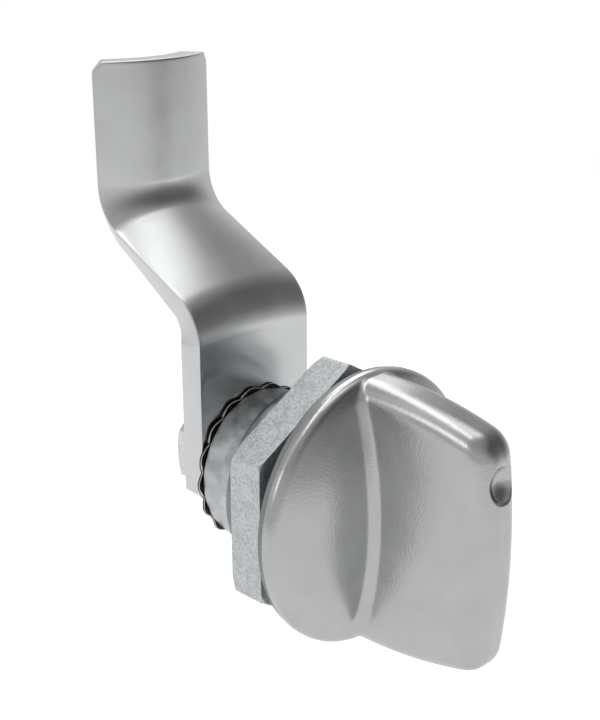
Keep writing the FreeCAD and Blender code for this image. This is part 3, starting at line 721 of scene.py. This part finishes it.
def makeSeal(c):
    # A square section with rounded corners turned round the axis
    turn = np.radians(np.linspace(0, 360, c["steps"] + 1))
    inner, outer, front, rear = c["inner"], c["outer"], c["front"], c["rear"]
    section = ringed([(inner, front), (outer, front), (outer, rear), (inner, rear)], c["bevel"], 6)
    return makePiece("seal_ring", [lathe(section, turn)], 60)


finishPiece(makeToothWasher(toothWasher), "rotor", finishes["black_steel"], "tooth_washer")
finishPiece(makeSpringWasher(springWasher), "rotor", finishes["zinc_screw"], "spring_washer")
finishPiece(makeSeal(seal), "rotor", finishes["seal_rubber"], "shaft_seal")


# The wing, the domed disc and the spindle are one casting
knob = {
    "rear": -0.9, "apex": -5.0, "radius": 15.5, "rim": 1.1, "rimBand": 0.448,
    "wingHalf": 15.25, "wingReach": 19.6, "wingFrontHalf": 12.8, "wingFoot": -2.0,
    "thick": 6.0, "frontThick": 5.3, "sideBow": 50, "frontBow": 80,
    "corner": 3.3, "edge": 2.2, "waist": 1.08, "waistLeast": 0.12, "waistEnd": 2.5,
    "dimpleHeight": 8.3, "dimpleHalf": 2.05, "dimpleDepth": 1.25, "dimpleEdge": 0.07,
    "journal": 5.95, "journalEnd": 15.9, "grooveRadius": 4.08, "groove": (10.92, 13.08), "spindleRound": 0.12,
    "stub": 5.3, "stubEnd": 19.4, "stubBevel": 0.2, "square": 4.0,
    "hole": 3.02, "holeBevel": 0.3, "holeEnd": 8.8,
    "pinRadius": 8.0, "pin": 1.0, "pinRoot": 0.6, "pinEnd": 2.0, "pinRound": 0.15, "pinTurn": 45,
    "pinSteps": 24,
    "turns": 360, "dips": 180, "crowding": 0.25, "furthest": 30, "halvings": 40,
}


def roundMeet(first, second, radius):
    # Larger of two distances, with an arc of that radius where both surfaces meet at right angles
    u, v = first + radius, second + radius
    return np.where((u > 0) & (v > 0), np.hypot(u, v) - radius, np.maximum(first, second))


def arcCorner(along, up, firstCentre, firstRadius, secondCentre, secondRadius, radius, guess):
    # Larger of two circles' distances, with a true arc between them about the point that is radius
    # inside both
    first = np.hypot(along - firstCentre[0], up - firstCentre[1]) - firstRadius
    second = np.hypot(along - secondCentre[0], up - secondCentre[1]) - secondRadius
    a, b = np.array(firstCentre), np.array(secondCentre)
    gap = np.linalg.norm(b - a)
    ra, rb = firstRadius - radius, secondRadius - radius
    share = (gap ** 2 + ra ** 2 - rb ** 2) / (2 * gap)
    rise = math.sqrt(ra ** 2 - share ** 2)
    way = (b - a) / gap
    options = [a + way * share + np.array([-way[1], way[0]]) * rise * hand for hand in (1, -1)]
    q = min(options, key=lambda option: np.linalg.norm(option - np.array(guess)))
    m, n = (q - a) / ra, (q - b) / rb
    side = m[0] * n[1] - m[1] * n[0]
    dy, dz = along - q[0], up - q[1]
    between = ((m[0] * dz - m[1] * dy) * side > 0) & ((dy * n[1] - dz * n[0]) * side > 0)
    return np.where(between, np.hypot(dy, dz) - radius, np.maximum(first, second))


def knobDistance(c, x, y, z):
    # How far a point is outside the casting's front: the domed disc and the wing joined by a hollow
    # fillet, less the dimple's ball
    up = np.abs(z)
    far = np.hypot(x, z)
    # disc: a ball's cap, a round rim and a plain band
    centre = c["rear"] - c["rimBand"]
    drop = centre - c["apex"]
    reach = c["radius"] - c["rim"]
    dome = (reach ** 2 + drop ** 2 - c["rim"] ** 2) / (drop - c["rim"]) / 2
    ball = np.hypot(far, y - c["apex"] - dome) - dome
    lift = (c["apex"] + dome - centre) / (dome - c["rim"])
    out, ahead = far - reach, centre - y
    onRim = (ahead > 0) & (out * lift - ahead * math.sqrt(1 - lift ** 2) > 0)
    disc = np.where(onRim, np.hypot(out, ahead) - c["rim"], np.maximum(ball, far - c["radius"]))
    # wing: side outline of two bows and a corner arc, and two flanks that lean in towards the front
    frontCentre = (c["frontBow"] - c["wingReach"], 0.0)
    corner = frontCentre[0] - math.sqrt(c["frontBow"] ** 2 - c["wingFrontHalf"] ** 2)
    foot, tip = np.array([c["wingFoot"], c["wingHalf"]]), np.array([corner, c["wingFrontHalf"]])
    chord = np.linalg.norm(tip - foot)
    inward = np.array([-(tip - foot)[1], (tip - foot)[0]]) / chord
    sideCentre = (foot + tip) / 2 + inward * math.sqrt(c["sideBow"] ** 2 - chord ** 2 / 4)
    outline = arcCorner(y, up, sideCentre, c["sideBow"], frontCentre, c["frontBow"], c["corner"], tip)
    lean = (c["thick"] - c["frontThick"]) / 2 / (c["apex"] + c["wingReach"])
    flank = np.abs(x) - c["thick"] / 2 + (c["apex"] - y) * lean
    wing = roundMeet(outline, flank, c["edge"])
    # the fillet's radius runs out towards the disc's rim
    r = c["waist"] * smooth((c["radius"] + 0.1 - up) / c["waistEnd"]) + c["waistLeast"]
    hollow = np.hypot(np.maximum(r - disc, 0), np.maximum(r - wing, 0))
    joined = np.maximum(np.minimum(disc, wing), r) - hollow
    depth, half, height = c["dimpleDepth"], c["dimpleHalf"], c["dimpleHeight"]
    bowl = (half ** 2 + depth ** 2) / (2 * depth)
    surface = -c["wingReach"] + height ** 2 / (2 * c["frontBow"])
    dimple = bowl - np.sqrt(x ** 2 + (y - surface - depth + bowl) ** 2 + (z - height) ** 2)
    return roundMeet(joined, dimple, c["dimpleEdge"])


def makeKnob(c):
    # Front: from the middle of the disc's rear face a ray goes out for each turn and dip, and the surface is
    # where the distance passes zero, found by halving. The turns crowd towards the wing's ends.
    even = np.linspace(0, 2 * math.pi, c["turns"] + 1)
    turn = math.pi / 2 + even - c["crowding"] * np.sin(2 * even)
    dip = np.radians(np.linspace(0, 90, c["dips"] + 1))
    wayX = np.cos(turn)[:, None] * np.sin(dip)
    wayY = -np.cos(dip)[None, :] + 0 * wayX
    wayZ = np.sin(turn)[:, None] * np.sin(dip)
    low, high = np.zeros_like(wayX), np.full_like(wayX, c["furthest"])
    for halving in range(c["halvings"]):
        middle = (low + high) / 2
        outside = knobDistance(c, middle * wayX, c["rear"] + middle * wayY, middle * wayZ) > 0
        low, high = np.where(outside, low, middle), np.where(outside, middle, high)
    front = np.stack([high * wayX, c["rear"] + high * wayY, high * wayZ], -1)
    front[:, -1] = lathe([(c["radius"], c["rear"])], turn)[:, 0]
    front[:, 0] = front[0, 0]
    journal, (grooveFrom, grooveTo), deep = c["journal"], c["groove"], c["grooveRadius"]
    spindle = rounded([
        (c["radius"], c["rear"]), (journal + 1, c["rear"]), (journal, c["rear"]),
        (journal, grooveFrom), (deep, grooveFrom), (deep, grooveTo), (journal, grooveTo),
        (journal, c["journalEnd"]), (c["stub"], c["journalEnd"])], c["spindleRound"], 3)
    # the end is the round stub cut square: radius = smaller of stub and square / larger of |cos| and |sin|
    squared = np.minimum(c["stub"], c["square"] / np.maximum(np.abs(np.cos(turn)), np.abs(np.sin(turn))))
    end, bevel = c["stubEnd"], c["stubBevel"]
    rings = [(squared, c["journalEnd"]), (squared, end - bevel), (squared - bevel, end),
             (c["hole"] + c["holeBevel"], end), (c["hole"], end - c["holeBevel"]),
             (c["hole"], c["holeEnd"]), (0, c["holeEnd"])]
    cos, sin = np.cos(turn), np.sin(turn)
    stub = np.stack([np.stack([r * cos, np.full(len(turn), y), r * sin], -1) for r, y in rings], 1)
    stub = np.concatenate([lathe(spindle[-1:], turn), stub], 1)
    # stop pin: a rounded peg that starts inside the disc
    root, tip, pinTurn = c["rear"] - c["pinRoot"], c["pinEnd"], math.radians(c["pinTurn"])
    peg = rounded([(0, root), (c["pin"], root), (c["pin"], tip), (0, tip)], c["pinRound"])
    peg = lathe(peg, np.radians(np.linspace(0, 360, c["pinSteps"] + 1)))
    peg += np.array([math.cos(pinTurn), 0, math.sin(pinTurn)]) * c["pinRadius"]
    return makePiece("winged_knob", [front, lathe(spindle, turn), stub, peg], 50)


finishPiece(makeKnob(knob), "rotor", finishes["cast_knob"], "wing_knob")


studio = {
    "floor": -95, "floorSize": 1400, "floorColour": 0.8, "floorFade": (0.25, 0.5), "floorRings": 24,
    "floorTurns": 96, "seenGlow": 0.6, "mirroredGlow": 0.4,
    # brightness of the surroundings from straight down to level to straight up, and the heights between
    "white": 1.0, "floorLight": 0.84, "horizon": 0.63, "overhead": 0.45,
    "lowerBand": (-0.5, -0.1), "upperBand": (0.1, 0.75),
}

# soft places in the surroundings: centre, half sizes, how much of each is full, and how bright
shades = {
    "dark_side": {"centre": (0.55, -0.72, 0.45), "half": (1.35, 1.3, 0.75), "full": 0.3, "level": 0.27},
    "dim_front": {"centre": (0.44, -0.85, -0.32), "half": (0.34, 0.5, 0.45), "full": 0.1, "level": 0.6},
}
glows = {
    "overhead": {"centre": (0.16, 0.08, 1.0), "half": (0.49, 0.4, 0.9), "full": 0.15, "level": 1.02},
    "left_upper": {"centre": (-0.58, 0.40, 0.72), "half": (0.4, 0.35, 0.35), "full": 0.2, "level": 0.4},
    "left": {"centre": (-0.85, 0.36, 0.36), "half": (0.3, 0.26, 0.26), "full": 0.1, "level": 1.8},
}
# a long soft box behind, along the great circle at right angles to its axis
strip = {
    "axis": (0.516, -0.785, 0.343), "middle": (0.18, 0.49, 0.85),
    "shift": 0.035, "full": 0.06, "half": 0.16, "ends": (0.66, 0.8), "level": 1.75,
}

lamp = {"toward": (-0.12, 0.10, 1.0), "aim": (0, 12, 12), "distance": 380, "size": 190, "power": 0.02}


def nearness(tree, way, c):
    # 1 in the middle of an oval patch of directions, easing to 0 at its rim
    away = vectorCalc(tree, "DIVIDE", vectorCalc(tree, "SUBTRACT", way, c["centre"]), c["half"])
    return ramp(tree, vectorCalc(tree, "LENGTH", away, out="Value"), c["full"], 1, 1, 0)


def stripNearness(tree, way, c):
    # 1 along the box's middle line, easing to 0 at its long sides and towards its ends
    off = vectorCalc(tree, "DOT_PRODUCT", way, c["axis"], out="Value")
    off = calc(tree, "ABSOLUTE", calc(tree, "ADD", off, c["shift"]))
    along = vectorCalc(tree, "DOT_PRODUCT", way, c["middle"], out="Value")
    wide = ramp(tree, off, c["full"], c["half"], 1, 0)
    return calc(tree, "MULTIPLY", wide, ramp(tree, along, *c["ends"], 0, 1))


def makeWorld(c):
    world = bpy.data.worlds.new("studio")
    world.use_nodes = True
    tree = world.node_tree
    background = tree.nodes["Background"]
    way = addNode(tree, "ShaderNodeTexCoord").outputs["Generated"]
    height = addNode(tree, "ShaderNodeSeparateXYZ", {0: way}).outputs["Z"]
    low = ramp(tree, height, *c["lowerBand"], c["floorLight"], c["horizon"])
    high = ramp(tree, height, *c["upperBand"], 0, c["overhead"] - c["horizon"])
    level = calc(tree, "ADD", low, high)
    for place in shades.values():
        kept = calc(tree, "MULTIPLY_ADD", nearness(tree, way, place), place["level"] - 1, 1)
        level = calc(tree, "MULTIPLY", level, kept)
    for place in glows.values():
        level = calc(tree, "MULTIPLY_ADD", nearness(tree, way, place), place["level"], level)
    level = calc(tree, "MULTIPLY_ADD", stripNearness(tree, way, strip), strip["level"], level)
    seen = addNode(tree, "ShaderNodeLightPath").outputs["Is Camera Ray"]
    strength = addNode(tree, "ShaderNodeMix", {"Factor": seen, "A": level, "B": c["white"]}).outputs["Result"]
    tree.links.new(strength, background.inputs["Strength"])
    background.inputs["Color"].default_value = (1, 1, 1, 1)
    bpy.context.scene.world = world


def makeLamp(name, c):
    data = bpy.data.lights.new(name, "AREA")
    data.shape = "RECTANGLE"
    data.size = data.size_y = c["size"] * mm
    data.energy = c["power"]
    made = bpy.data.objects.new(name, data)
    bpy.context.scene.collection.objects.link(made)
    toward = Vector(c["toward"]).normalized()
    made.location = Vector(c["aim"]) * mm + toward * c["distance"] * mm
    made.rotation_euler = toward.to_track_quat("Z", "Y").to_euler()


def makeFloor(c):
    # A round pale floor that fades out at its rim
    turn = np.linspace(0, 2 * math.pi, c["floorTurns"] + 1)[None, :]
    out = (np.linspace(0, 1, c["floorRings"] + 1) * c["floorSize"] / 2)[:, None]
    x, y = out * np.cos(turn), out * np.sin(turn)
    floor = makePiece("floor", [np.stack([x, y, np.full(x.shape, float(c["floor"]))], -1)])
    made = bpy.data.materials.new("pale_floor")
    made.use_nodes = True
    tree = made.node_tree
    shader = tree.nodes["Principled BSDF"]
    shader.inputs["Base Color"].default_value = grey(c["floorColour"])
    shader.inputs["Roughness"].default_value = 1
    path = addNode(tree, "ShaderNodeLightPath").outputs
    mirrored = calc(tree, "MAXIMUM", path["Is Glossy Ray"], path["Is Transmission Ray"])
    mirroredGlow = calc(tree, "MULTIPLY", mirrored, c["mirroredGlow"])
    glow = calc(tree, "MULTIPLY_ADD", path["Is Camera Ray"], c["seenGlow"], mirroredGlow)
    shader.inputs["Emission Color"].default_value = (1, 1, 1, 1)
    tree.links.new(glow, shader.inputs["Emission Strength"])
    place = addNode(tree, "ShaderNodeTexCoord").outputs["Object"]
    far = vectorCalc(tree, "LENGTH", vectorCalc(tree, "MULTIPLY", place, (1, 1, 0)), out="Value")
    fade = ramp(tree, far, *(c["floorSize"] * share * mm for share in c["floorFade"]), 0, 1)
    clear = addNode(tree, "ShaderNodeBsdfTransparent").outputs[0]
    mix = addNode(tree, "ShaderNodeMixShader", {0: fade, 1: shader.outputs[0], 2: clear})
    tree.links.new(mix.outputs[0], tree.nodes["Material Output"].inputs["Surface"])
    floor.data.materials.append(made)


makeWorld(studio)
makeLamp("top_box", lamp)
makeFloor(studio)
bpy.context.scene.view_settings.view_transform = "Standard"
print("studio ready")
